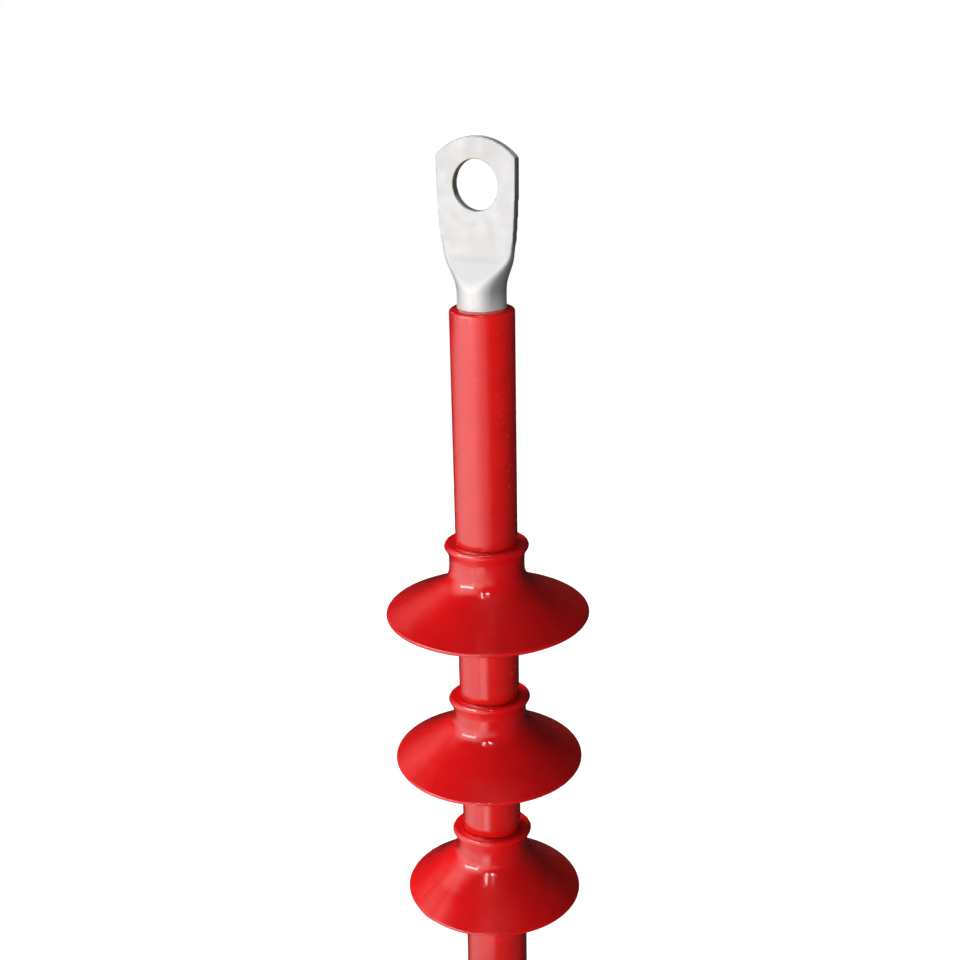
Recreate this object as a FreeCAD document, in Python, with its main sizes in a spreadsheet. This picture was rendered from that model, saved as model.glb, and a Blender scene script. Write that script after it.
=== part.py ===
import FreeCAD, Part
import math
import os
import Sketcher

# Heat shrink termination on the end of a single-core medium-voltage cable, in millimetres.
# The cable runs down the Z axis. The origin is the centre of the lug's palm hole, on the palm's
# back face, which lies in the plane of the cable's axis. The palm's front face looks along -Y.
# Depths are measured downwards from the centre of the palm hole.

DIMENSIONS = [
    ("palm_hole_diameter", 17.0, "clearance hole for the terminal bolt"),
    ("palm_thickness", 3.2, "flattened tube wall"),
    ("palm_tip_height", 15.8, "top of the palm above the hole centre"),
    ("palm_corner_height", 9.2, "height where the curved tip meets the sides"),
    ("palm_top_width", 30.0, "width at the corners"),
    ("palm_root_width", 27.0, "width where the shoulder starts"),
    ("palm_root_depth", 21.2, "depth where the shoulder starts"),
    ("palm_side_radius", 300.0, "bulge of the palm's long sides"),
    ("palm_corner_rounding", 0.8, "corners of the palm's outline"),
    ("palm_edge_rounding", 0.12, "edge of the flattened tube at the palm's root"),
    ("shoulder_length", 14.3, "from the flat palm to the round barrel"),
    ("barrel_diameter", 17.2, "outside of the lug barrel"),
    ("barrel_bore_diameter", 11.5, "inside of the barrel, away from the crimps"),
    ("barrel_length", 39.5, "round part of the lug"),
    ("barrel_floor", 1.6, "from the barrel's start to the end of its bore"),
    ("crimp_across_flats", 14.4, "hexagon pressed into the barrel"),
    ("crimp_width", 8.0, "length of one crimp"),
    ("crimp_start", 11.0, "from the barrel's start to the first crimp"),
    ("crimp_spacing", 14.0, "from one crimp to the next"),
    ("conductor_diameter", 9.8, "compacted strands, 70 square millimetres"),
    ("conductor_tip_gap", 1.0, "from the bore's floor to the conductor"),
    ("strand_gap", 0.06, "clearance between neighbouring strands"),
    ("layer_gap", 0.05, "clearance between nested layers"),
    ("conductor_screen_wall", 0.6, "inner semiconducting layer"),
    ("insulation_wall", 3.35, "main insulation"),
    ("insulation_chamfer", 3.0, "bevel at the insulation's end"),
    ("insulation_gap", 5.0, "bare conductor between the lug and the insulation"),
    ("insulation_screen_wall", 0.6, "outer semiconducting layer"),
    ("screen_feather", 4.0, "tapered edge of the insulation screen"),
    ("copper_tape_wall", 0.2, "two turns of metal tape"),
    ("binder_wall", 0.25, "wrap under the sheath"),
    ("sheath_wall", 2.55, "outer sheath"),
    ("sheath_abrasion", 0.3, "rubbed off the sheath where the red tube grips it"),
    ("abrasion_margin", 1.0, "rubbed sheath left showing below the red tube"),
    ("tube_top_gap", 5.7, "bare barrel above the red tube"),
    ("tube_length", 398.8, "red tube after shrinking"),
    ("tube_wall", 2.5, "red tube after shrinking"),
    ("tube_edge_rounding", 0.9, "softened end of the red tube"),
    ("tube_end_slope", 0.8, "the red tube's upper end is lower outside than inside"),
    ("tube_sheath_overlap", 38.0, "red tube over the outer sheath"),
    ("copper_exposed", 26.0, "metal tape left showing above the sheath"),
    ("screen_exposed", 24.0, "semiconducting screen left above the metal tape"),
    ("stress_tube_wall", 0.85, "black stress control tube after shrinking"),
    ("stress_tube_reach", 60.0, "stress control tube above the screen's edge"),
    ("stress_tube_length", 100.0, "black tube after shrinking"),
    ("stress_tube_clearance", 2.0, "least metal tape between the black tube and the sheath"),
    ("shrink_ramp", 8.0, "length over which a shrunk layer steps outwards"),
    ("shrink_smoothing", 12.0, "radius that softens each step outside"),
    ("mastic_ring_length", 6.0, "stress grading filler at the screen's edge"),
    ("sheath_mastic_wall", 0.45, "sealant on the outer sheath"),
    ("sheath_mastic_length", 30.0, "sealant on the outer sheath"),
    ("lug_mastic_recess", 2.5, "from the red tube's edge down to the sealant"),
    ("cable_stub", 40.0, "bare sheath below the red tube"),
    ("top_shed_depth", 129.5, "collar of the top shed"),
    ("upper_shed_spacing", 63.9, "from the top collar to the middle one"),
    ("lower_shed_spacing", 60.3, "from the middle collar to the bottom one"),
    ("shed_adhesive_wall", 0.3, "hot melt inside each collar"),
    ("collar_wall", 2.15, "neck of a shed"),
    ("collar_lip", 1.75, "flare of the collar beyond its neck"),
    ("collar_lip_height", 4.6, "from the lip's top down to the plain neck"),
    ("collar_lip_bevel", 0.6, "rolled edge of the lip, drawn as flats"),
    ("collar_groove", 1.3, "funnel between the lip and the tube"),
    ("foot_bevel", 3.0, "soft corner between neck and skirt, drawn as a flat"),
    ("skirt_slant", 27.7, "from the neck to the rim, along the skirt"),
    ("skirt_sag", 0.9, "hollow of the skirt, half way between neck and rim"),
    ("skirt_root_wall", 3.0, "skirt where it leaves the neck"),
    ("skirt_rim_wall", 1.9, "skirt at its rim"),
    ("top_collar_length", 14.0, "collar top down to the skirt, top shed"),
    ("middle_collar_length", 9.5, "collar top down to the skirt, middle shed"),
    ("bottom_collar_length", 8.7, "collar top down to the skirt, bottom shed"),
    ("top_shed_droop", 28.6, "degrees below level, top shed"),
    ("middle_shed_droop", 35.6, "degrees below level, middle shed"),
    ("bottom_shed_droop", 40.8, "degrees below level, bottom shed"),
]

INNER_STRANDS = 6
OUTER_STRANDS = 12
SHOULDER_SECTIONS = 7
# A corner radius of this share of the half width makes a section nearly round.
NEARLY_ROUND = 0.99
# Each of the two bevels on a skirt's rim takes this share of the rim's wall.
RIM_BEVEL_SHARE = 0.3
# The size that a fillet or a chamfer is driven by.
EASING_SIZE = {"Fillet": "Radius", "Chamfer": "Size"}
# An edge is taken for the one that is looked for when it is this near, in millimetres.
EDGE_MATCH = 0.01

# Radii from the middle of the cable outwards, each from the layer inside it.
GAP = "Sizes.layer_gap"
CONDUCTOR = "(Sizes.conductor_diameter / 2)"
SCREEN_BORE = f"({CONDUCTOR} + {GAP})"
SCREEN = f"({SCREEN_BORE} + Sizes.conductor_screen_wall)"
INSULATION = f"({SCREEN} + Sizes.insulation_wall)"
OUTER_SCREEN = f"({INSULATION} + Sizes.insulation_screen_wall)"
COPPER_BORE = f"({OUTER_SCREEN} + {GAP})"
COPPER = f"({COPPER_BORE} + Sizes.copper_tape_wall)"
BINDER_BORE = f"({COPPER} + {GAP})"
BINDER = f"({BINDER_BORE} + Sizes.binder_wall)"
SHEATH_BORE = f"({BINDER} + {GAP})"
SHEATH = f"({SHEATH_BORE} + Sizes.sheath_wall)"
ABRADED_SHEATH = f"({SHEATH} - Sizes.sheath_abrasion)"
SHEATH_MASTIC = f"({ABRADED_SHEATH} + Sizes.sheath_mastic_wall)"

# The stress control tube hugs the insulation, then the screen, then the metal tape.
STRESS_BORE = f"({INSULATION} + {GAP})"
STRESS = f"({STRESS_BORE} + Sizes.stress_tube_wall)"
STRESS_OVER_SCREEN = f"({OUTER_SCREEN} + {GAP} + Sizes.stress_tube_wall)"
STRESS_OVER_COPPER = f"({COPPER} + {GAP} + Sizes.stress_tube_wall)"

# The red tube hugs the insulation and the lug's sealant, then the layers further down.
TUBE_BORE = f"({INSULATION} + {GAP})"
TUBE = f"({TUBE_BORE} + Sizes.tube_wall)"
BARREL = "(Sizes.barrel_diameter / 2)"
BARREL_BORE = "(Sizes.barrel_bore_diameter / 2)"
TUBE_OVER_STRESS = f"({STRESS} + {GAP} + Sizes.tube_wall)"

# Depths down the cable, each from the piece that it depends on.
BARREL_START = "(Sizes.palm_root_depth + Sizes.shoulder_length)"
BARREL_END = f"({BARREL_START} + Sizes.barrel_length)"
BORE_FLOOR = f"({BARREL_START} + Sizes.barrel_floor)"
CONDUCTOR_TIP = f"({BORE_FLOOR} + Sizes.conductor_tip_gap)"
CRIMP_START = f"({BARREL_START} + Sizes.crimp_start)"
INSULATION_START = f"({BARREL_END} + Sizes.insulation_gap)"
CHAMFER_END = f"({INSULATION_START} + Sizes.insulation_chamfer)"
TUBE_START = f"({BARREL_START} + Sizes.tube_top_gap)"
TUBE_END = f"({TUBE_START} + Sizes.tube_length)"
SHEATH_CUT = f"({TUBE_END} - Sizes.tube_sheath_overlap)"
STRESS_OVER_CUTS = "(Sizes.stress_tube_length - Sizes.stress_tube_reach - Sizes.screen_exposed)"
COPPER_BARED = f"max(Sizes.copper_exposed; {STRESS_OVER_CUTS} + Sizes.stress_tube_clearance)"
COPPER_CUT = f"({SHEATH_CUT} - {COPPER_BARED})"
SCREEN_CUT = f"({COPPER_CUT} - Sizes.screen_exposed)"
STRESS_START = f"({SCREEN_CUT} - Sizes.stress_tube_reach)"
STRESS_END = f"({STRESS_START} + Sizes.stress_tube_length)"
LUG_MASTIC_START = f"({TUBE_START} + Sizes.lug_mastic_recess)"
CABLE_END = f"({TUBE_END} + Sizes.cable_stub)"

document = FreeCAD.newDocument("termination")
sheet = document.addObject("Spreadsheet::Sheet", "Sizes")
for row, (alias, number, meaning) in enumerate(DIMENSIONS, start=1):
    sheet.set(f"A{row}", meaning)
    sheet.set(f"B{row}", str(number))
    sheet.setAlias(f"B{row}", alias)
document.recompute()


def value(expression):
    """The number that an expression over the sheet has now."""
    result = sheet.evalExpression(expression)
    return float(getattr(result, "Value", result))


def new_body(name):
    """An empty body whose label names its file."""
    body = document.addObject("PartDesign::Body", name)
    body.Label = name
    body.Placement = FreeCAD.Placement()
    return body


def origin_part(body, role):
    """One of the body's own origin planes or axes."""
    return next(part for part in body.Origin.OriginFeatures if part.Role == role)


def new_sketch(body, name, role, depth=None):
    """A sketch on an origin plane, or at a depth below the XY plane."""
    sketch = body.newObject("Sketcher::SketchObject", name)
    sketch.AttachmentSupport = [(origin_part(body, role), "")]
    sketch.MapMode = "FlatFace"
    if depth is not None:
        sketch.setExpression("AttachmentOffset.Base.z", f"-{depth}")
    return sketch


def bind(sketch, constraint, expression):
    """Add a dimension to a sketch and tie it to an expression over the sheet."""
    index = sketch.addConstraint(constraint)
    sketch.setExpression(f"Constraints[{index}]", expression)


def near_end(sketch, edge, point):
    """Which end of a sketch edge lies at a point: 1 for its start, 2 for its end."""
    start_gap = sketch.getPoint(edge, 1).distanceToPoint(point)
    end_gap = sketch.getPoint(edge, 2).distanceToPoint(point)
    return 1 if start_gap < end_gap else 2


def arc_between(start, end, radius):
    """Arc from start to end; a positive radius bulges to the right of the way it runs."""
    chord = end - start
    half = chord.Length / 2
    sagitta = abs(radius) - math.sqrt(radius * radius - half * half)
    side = FreeCAD.Vector(chord.y, -chord.x, 0).normalize()
    middle = (start + end) * 0.5 + side * math.copysign(sagitta, radius)
    return Part.Arc(start, middle, end)


def outline(body, name, corners, arcs=None):
    """Closed outline in the XZ plane through corners of (distance from the axis, depth).

    arcs gives the radius of the curved edge that leaves a corner.
    """
    arcs = arcs or {}
    sketch = new_sketch(body, name, "XZ_Plane")
    points = [FreeCAD.Vector(value(across), -value(depth), 0) for across, depth in corners]
    count = len(points)
    for index, start in enumerate(points):
        end = points[(index + 1) % count]
        if index in arcs:
            sketch.addGeometry(arc_between(start, end, value(arcs[index])))
        else:
            sketch.addGeometry(Part.LineSegment(start, end))
    for index, (across, depth) in enumerate(corners):
        point = points[index]
        before = (index - 1) % count
        end_before = near_end(sketch, before, point)
        end_here = near_end(sketch, index, point)
        sketch.addConstraint(
            Sketcher.Constraint("Coincident", before, end_before, index, end_here))
        bind(sketch, Sketcher.Constraint("DistanceX", index, end_here, point.x), across)
        bind(sketch, Sketcher.Constraint("DistanceY", index, end_here, point.y), f"-{depth}")
    for index, radius in arcs.items():
        bind(sketch, Sketcher.Constraint("Radius", index, abs(value(radius))), f"abs({radius})")
    return sketch


def revolve(body, sketch, name="turned"):
    """Turn an outline about the cable's axis."""
    feature = body.newObject("PartDesign::Revolution", name)
    feature.Profile = (sketch, [""])
    feature.ReferenceAxis = (sketch, ["V_Axis"])
    feature.Angle = 360
    return feature


def ring_edges(feature, radius, depth):
    """Names of a feature's circular edges of one radius at one depth."""
    names = []
    for index, edge in enumerate(feature.Shape.Edges, start=1):
        curve = edge.Curve
        if not isinstance(curve, Part.Circle):
            continue
        same_radius = abs(curve.Radius - value(radius)) < EDGE_MATCH
        if same_radius and abs(curve.Center.z + value(depth)) < EDGE_MATCH:
            names.append(f"Edge{index}")
    return names


def ease_rings(body, feature, rings, size, name, kind="Fillet"):
    """Fillet or chamfer circular edges, given as (radius, depth)."""
    document.recompute()
    edges = []
    for radius, depth in rings:
        found = ring_edges(feature, radius, depth)
        if not found:
            raise RuntimeError(f"{body.Label}: no edge of radius {radius} at {depth}")
        edges.extend(found)
    easing = body.newObject(f"PartDesign::{kind}", name)
    easing.Base = (feature, edges)
    easing.setExpression(EASING_SIZE[kind], size)
    return easing


def sleeve(name, bore, outside, top, bottom):
    """Plain tube between two depths."""
    body = new_body(name)
    corners = [(bore, top), (outside, top), (outside, bottom), (bore, bottom)]
    revolve(body, outline(body, "section", corners))
    return body


def blend(start, end, share):
    """Expression for a smooth change from one size to another."""
    eased = share * share * (3 - 2 * share)
    return f"({start} + ({end} - {start}) * {eased:.6f})"


def rounded_section(body, name, depth, half_width, half_thickness, centre, corner):
    """Rounded rectangle across the lug at a depth; centre is its distance in front of the axis."""
    sketch = new_sketch(body, name, "XY_Plane", depth)
    wide = value(half_width)
    thick = value(half_thickness)
    middle = -value(centre)
    round_off = value(corner)
    inner_x = wide - round_off
    low = middle - thick
    high = middle + thick
    vector = FreeCAD.Vector
    sides = [
        (vector(-inner_x, low, 0), vector(inner_x, low, 0)),
        (vector(wide, low + round_off, 0), vector(wide, high - round_off, 0)),
        (vector(inner_x, high, 0), vector(-inner_x, high, 0)),
        (vector(-wide, high - round_off, 0), vector(-wide, low + round_off, 0)),
    ]
    turns = [(inner_x, low + round_off, -90), (inner_x, high - round_off, 0),
             (-inner_x, high - round_off, 90), (-inner_x, low + round_off, 180)]
    for (start, end), (turn_x, turn_y, angle) in zip(sides, turns):
        sketch.addGeometry(Part.LineSegment(start, end))
        circle = Part.Circle(vector(turn_x, turn_y, 0), vector(0, 0, 1), round_off)
        first = math.radians(angle)
        sketch.addGeometry(Part.ArcOfCircle(circle, first, first + math.pi / 2))
    for index in range(8):
        sketch.addConstraint(Sketcher.Constraint("Tangent", index, 2, (index + 1) % 8, 1))
    for index, kind in ((2, "Vertical"), (4, "Horizontal"), (6, "Vertical")):
        sketch.addConstraint(Sketcher.Constraint(kind, index))
    for index in (3, 5, 7):
        sketch.addConstraint(Sketcher.Constraint("Equal", 1, index))
    sketch.addConstraint(Sketcher.Constraint("Symmetric", 0, 1, 0, 2, -2))
    bind(sketch, Sketcher.Constraint("Radius", 1, round_off), corner)
    bind(sketch, Sketcher.Constraint("DistanceX", 2, 1, wide), half_width)
    bind(sketch, Sketcher.Constraint("DistanceY", 0, 1, low), f"-({centre} + {half_thickness})")
    bind(sketch, Sketcher.Constraint("DistanceY", 4, 1, high), f"{half_thickness} - {centre}")
    return sketch


def lug_barrel(body):
    """Round barrel with its blind bore."""
    corners = [
        ("0", BARREL_START),
        (BARREL, BARREL_START),
        (BARREL, BARREL_END),
        (BARREL_BORE, BARREL_END),
        (BARREL_BORE, BORE_FLOOR),
        ("0", BORE_FLOOR),
    ]
    revolve(body, outline(body, "barrel_section", corners), "barrel")


def lug_crimps(body):
    """Hexagonal crimps: the bore is pressed onto the conductor and the outside becomes flat."""
    neck_end = f"({CRIMP_START} + Sizes.crimp_width)"
    overlap = f"({BARREL_BORE} + Sizes.layer_gap)"
    corners = [(SCREEN_BORE, CRIMP_START), (overlap, CRIMP_START),
               (overlap, neck_end), (SCREEN_BORE, neck_end)]
    neck = revolve(body, outline(body, "crimp_neck_section", corners), "crimp_neck")
    sketch = new_sketch(body, "crimp_section", "XY_Plane", CRIMP_START)
    flats = value("Sizes.crimp_across_flats") / 2
    corner_radius = flats / math.cos(math.radians(30))
    corners = [FreeCAD.Vector(corner_radius * math.cos(math.radians(60 * step)),
                              corner_radius * math.sin(math.radians(60 * step)), 0)
               for step in range(6)]
    for step in range(6):
        sketch.addGeometry(Part.LineSegment(corners[step], corners[(step + 1) % 6]))
    for step in range(6):
        sketch.addConstraint(Sketcher.Constraint("Coincident", step, 2, (step + 1) % 6, 1))
    reach = value(BARREL) + 2 * value(GAP)
    ring = sketch.addGeometry(Part.Circle(FreeCAD.Vector(), FreeCAD.Vector(0, 0, 1), reach))
    guide = Part.Circle(FreeCAD.Vector(), FreeCAD.Vector(0, 0, 1), corner_radius)
    guide = sketch.addGeometry(guide, True)
    sketch.addConstraint(Sketcher.Constraint("Coincident", ring, 3, -1, 1))
    sketch.addConstraint(Sketcher.Constraint("Coincident", guide, 3, -1, 1))
    for step in range(6):
        sketch.addConstraint(Sketcher.Constraint("PointOnObject", step, 1, guide))
    for step in range(5):
        sketch.addConstraint(Sketcher.Constraint("Equal", step, step + 1))
    sketch.addConstraint(Sketcher.Constraint("PointOnObject", 0, 1, -1))
    bind(sketch, Sketcher.Constraint("Radius", ring, reach), f"{BARREL} + 2 * {GAP}")
    bind(sketch, Sketcher.Constraint("Radius", guide, corner_radius),
         "Sizes.crimp_across_flats / 2 / cos(30)")
    flattening = body.newObject("PartDesign::Pocket", "crimp_flats")
    flattening.Profile = (sketch, [""])
    flattening.Type = "Length"
    flattening.setExpression("Length", "Sizes.crimp_width")
    pattern = body.newObject("PartDesign::LinearPattern", "crimps")
    pattern.Originals = [neck, flattening]
    pattern.Direction = (origin_part(body, "Z_Axis"), [""])
    pattern.Reversed = True
    pattern.Mode = "Spacing"
    pattern.setExpression("Offset", "Sizes.crimp_spacing")
    pattern.Occurrences = 2
    body.Tip = pattern


def lug_shoulder(body):
    """Loft from the round barrel to the flat palm."""
    half_palm = "(Sizes.palm_thickness / 2)"
    sections = []
    for step in range(SHOULDER_SECTIONS):
        share = step / (SHOULDER_SECTIONS - 1)
        depth = f"({BARREL_START} - Sizes.shoulder_length * {share:.6f})"
        corner = blend(f"({BARREL} * {NEARLY_ROUND})", "Sizes.palm_edge_rounding", share)
        sections.append(rounded_section(
            body, f"shoulder_{step}", depth,
            blend(BARREL, "(Sizes.palm_root_width / 2)", share),
            blend(BARREL, half_palm, share),
            blend("0", half_palm, share),
            f"min({corner}; {blend(BARREL, half_palm, share)} * {NEARLY_ROUND})"))
    loft = body.newObject("PartDesign::AdditiveLoft", "shoulder")
    loft.Profile = (sections[0], [""])
    loft.Sections = [(section, [""]) for section in sections[1:]]
    loft.Ruled = False


def upright_corner_edges(feature):
    """The two short edges through the palm's thickness where the tip meets the sides."""
    corner = value("Sizes.palm_corner_height")
    names = []
    for index, edge in enumerate(feature.Shape.Edges, start=1):
        box = edge.BoundBox
        through = box.XLength < EDGE_MATCH and box.ZLength < EDGE_MATCH
        if through and abs(box.ZMin - corner) < EDGE_MATCH:
            names.append(f"Edge{index}")
    return names


def edge_fillet(body, feature, pick, rounding, name):
    """Fillet the edges of a feature that a function picks."""
    document.recompute()
    fillet = body.newObject("PartDesign::Fillet", name)
    fillet.Base = (feature, pick(feature))
    fillet.setExpression("Radius", rounding)
    return fillet


def lug_palm(body):
    """Flat palm, cropped square with a curved tip, and its bolt hole."""
    root = "(Sizes.palm_root_width / 2)"
    top = "(Sizes.palm_top_width / 2)"
    rise = "(Sizes.palm_tip_height - Sizes.palm_corner_height)"
    tip_radius = f"(({top} * {top} + {rise} * {rise}) / (2 * {rise}))"
    corner = "(-Sizes.palm_corner_height)"
    corners = [(root, "Sizes.palm_root_depth"), (top, corner),
               (f"(-{top})", corner), (f"(-{root})", "Sizes.palm_root_depth")]
    arcs = {0: "Sizes.palm_side_radius", 1: tip_radius, 2: "Sizes.palm_side_radius"}
    sketch = outline(body, "palm_outline", corners, arcs)
    pad = body.newObject("PartDesign::Pad", "palm")
    pad.Profile = (sketch, [""])
    pad.setExpression("Length", "Sizes.palm_thickness")
    edge_fillet(body, pad, upright_corner_edges, "Sizes.palm_corner_rounding", "tip_corners")
    hole_sketch = new_sketch(body, "hole_outline", "XZ_Plane")
    radius = value("Sizes.palm_hole_diameter") / 2
    hole_sketch.addGeometry(Part.Circle(FreeCAD.Vector(), FreeCAD.Vector(0, 0, 1), radius))
    hole_sketch.addConstraint(Sketcher.Constraint("Coincident", 0, 3, -1, 1))
    bind(hole_sketch, Sketcher.Constraint("Radius", 0, radius), "Sizes.palm_hole_diameter / 2")
    hole = body.newObject("PartDesign::Pocket", "bolt_hole")
    hole.Profile = (hole_sketch, [""])
    hole.Type = "ThroughAll"
    hole.Midplane = True


def cable_lug():
    """Tinned lug: palm, shoulder, barrel and crimps are one piece of tube."""
    body = new_body("cable_lug")
    lug_palm(body)
    lug_shoulder(body)
    lug_barrel(body)
    lug_crimps(body)
    return body


def strand_ring(name, inner, outer, count):
    """A layer of compacted strands: keystone sections in a ring, each a solid of its own."""
    body = new_body(name)
    sketch = new_sketch(body, "strand_section", "XY_Plane", CONDUCTOR_TIP)
    low = value(inner)
    high = value(outer)
    half_gap = value("Sizes.strand_gap") / 2
    half_angle = math.pi / count
    inner_angle = half_angle - half_gap / low
    outer_angle = half_angle - half_gap / high
    vector = FreeCAD.Vector
    circles = [Part.Circle(vector(), vector(0, 0, 1), radius) for radius in (low, high)]
    sketch.addGeometry(Part.ArcOfCircle(circles[0], -inner_angle, inner_angle))
    sketch.addGeometry(Part.ArcOfCircle(circles[1], -outer_angle, outer_angle))
    ends = [(vector(radius * math.cos(angle), side * radius * math.sin(angle), 0))
            for side in (-1, 1) for radius, angle in ((low, inner_angle), (high, outer_angle))]
    sketch.addGeometry(Part.LineSegment(ends[0], ends[1]))
    sketch.addGeometry(Part.LineSegment(ends[2], ends[3]))
    sketch.addConstraint(Sketcher.Constraint("Coincident", 0, 3, -1, 1))
    sketch.addConstraint(Sketcher.Constraint("Coincident", 1, 3, -1, 1))
    for line, arc_end in ((2, 1), (3, 2)):
        sketch.addConstraint(Sketcher.Constraint("Coincident", line, 1, 0, arc_end))
        sketch.addConstraint(Sketcher.Constraint("Coincident", line, 2, 1, arc_end))
    sketch.addConstraint(Sketcher.Constraint("Symmetric", 0, 1, 0, 2, -1))
    sketch.addConstraint(Sketcher.Constraint("Symmetric", 1, 1, 1, 2, -1))
    bind(sketch, Sketcher.Constraint("Radius", 0, low), inner)
    bind(sketch, Sketcher.Constraint("Radius", 1, high), outer)
    for arc, radius in ((0, inner), (1, outer)):
        half_width = f"{radius} * sin({180 / count:.6f}) - Sizes.strand_gap / 2"
        bind(sketch, Sketcher.Constraint("DistanceY", arc, 2, value(half_width)), half_width)
    strand = body.newObject("PartDesign::Pad", "strand")
    strand.Profile = (sketch, [""])
    strand.Reversed = True
    strand.setExpression("Length", f"{CABLE_END} - {CONDUCTOR_TIP}")
    pattern = body.newObject("PartDesign::PolarPattern", "strands")
    pattern.Originals = [strand]
    pattern.Axis = (origin_part(body, "Z_Axis"), [""])
    pattern.Angle = 360
    pattern.Occurrences = count
    body.Tip = pattern
    return body


def conductor():
    """Compacted conductor: one wire, then two rings round it."""
    core = f"({CONDUCTOR} / 5)"
    middle = f"({CONDUCTOR} * 3 / 5)"
    centre = new_body("conductor_centre_wire")
    corners = [("0", CONDUCTOR_TIP), (f"({core} - Sizes.strand_gap)", CONDUCTOR_TIP),
               (f"({core} - Sizes.strand_gap)", CABLE_END), ("0", CABLE_END)]
    revolve(centre, outline(centre, "section", corners))
    inner = strand_ring("conductor_inner_wires", core,
                        f"({middle} - Sizes.strand_gap)", INNER_STRANDS)
    outer = strand_ring("conductor_outer_wires", middle, CONDUCTOR, OUTER_STRANDS)
    return [centre, inner, outer]


def xlpe_insulation():
    """Main insulation with a bevelled end."""
    body = new_body("xlpe_insulation")
    bevel_radius = f"({INSULATION} - Sizes.insulation_chamfer / 2)"
    corners = [(f"({SCREEN} + {GAP})", INSULATION_START), (bevel_radius, INSULATION_START),
               (INSULATION, CHAMFER_END), (INSULATION, CABLE_END),
               (f"({SCREEN} + {GAP})", CABLE_END)]
    revolve(body, outline(body, "section", corners))
    return body


def insulation_screen():
    """Outer semiconducting layer, tapered to a feathered edge where it is cut back."""
    body = new_body("insulation_screen")
    bore = f"({INSULATION} + {GAP})"
    edge = f"({bore} + {GAP})"
    feather_end = f"({SCREEN_CUT} + Sizes.screen_feather)"
    corners = [(bore, SCREEN_CUT), (edge, SCREEN_CUT), (OUTER_SCREEN, feather_end),
               (OUTER_SCREEN, CABLE_END), (bore, CABLE_END)]
    revolve(body, outline(body, "section", corners))
    return body


def outer_sheath():
    """Jacket of the cable, rubbed down where the red tube is sealed to it."""
    body = new_body("outer_sheath")
    rubbed_end = f"({TUBE_END} + Sizes.abrasion_margin)"
    corners = [(SHEATH_BORE, SHEATH_CUT), (ABRADED_SHEATH, SHEATH_CUT),
               (ABRADED_SHEATH, rubbed_end), (SHEATH, rubbed_end),
               (SHEATH, CABLE_END), (SHEATH_BORE, CABLE_END)]
    revolve(body, outline(body, "section", corners))
    return body


def stepped_path(steps):
    """Corners of a line that hugs a list of (radius, depth where that radius is reached)."""
    corners = []
    for index, (radius, depth) in enumerate(steps):
        if index:
            corners.append((steps[index - 1][0], f"({depth} - Sizes.shrink_ramp)"))
        corners.append((radius, depth))
    return corners


def shrunk_tube(name, steps, wall, bottom, end_slope="0"):
    """Tube of even wall shrunk over a stepped core.

    Returns its body, its turned feature and its outer corners. end_slope lowers the first of those.
    """
    body = new_body(name)
    inside = stepped_path(steps) + [(steps[-1][0], bottom)]
    outside = [(f"({radius} + {wall})", depth) for radius, depth in inside]
    outside[0] = (outside[0][0], f"({outside[0][1]} + {end_slope})")
    feature = revolve(body, outline(body, "section", inside + outside[::-1]))
    return body, feature, outside


def stress_control_tube():
    """Black tube that grades the field over the edge of the insulation screen."""
    steps = [(STRESS_BORE, STRESS_START), (f"({OUTER_SCREEN} + {GAP})", SCREEN_CUT),
             (f"({COPPER} + {GAP})", COPPER_CUT)]
    return shrunk_tube("stress_control_tube", steps, "Sizes.stress_tube_wall", STRESS_END)[0]


def stress_grading_mastic():
    """Soft filler in the wedge where the stress control tube climbs onto the screen."""
    body = new_body("stress_grading_mastic")
    low = f"({INSULATION} + {GAP} / 2)"
    start = f"({SCREEN_CUT} - Sizes.mastic_ring_length)"
    end = f"({SCREEN_CUT} - {GAP})"
    slope = f"(({OUTER_SCREEN} - {INSULATION}) / Sizes.shrink_ramp)"
    thin = f"({STRESS_BORE} + (Sizes.shrink_ramp - Sizes.mastic_ring_length) * {slope} - {GAP})"
    thick = f"({STRESS_BORE} + (Sizes.shrink_ramp - {GAP}) * {slope} - {GAP})"
    corners = [(low, start), (low, end), (thick, end), (thin, start)]
    revolve(body, outline(body, "section", corners))
    return body


def anti_track_tube():
    """Red outer tube, from the lug barrel down to the cable's sheath."""
    steps = [(TUBE_BORE, TUBE_START), (f"({STRESS} + {GAP})", STRESS_START),
             (f"({STRESS_OVER_SCREEN} + {GAP})", SCREEN_CUT),
             (f"({STRESS_OVER_COPPER} + {GAP})", COPPER_CUT),
             (f"({SHEATH_MASTIC} + {GAP})", SHEATH_CUT)]
    body, feature, outside = shrunk_tube("anti_track_tube", steps, "Sizes.tube_wall", TUBE_END,
                                         "Sizes.tube_end_slope")
    smooth = ease_rings(body, feature, outside[1:-1], "Sizes.shrink_smoothing", "soft_steps")
    ease_rings(body, smooth, [outside[0]], "Sizes.tube_edge_rounding", "soft_top")
    return body


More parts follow.
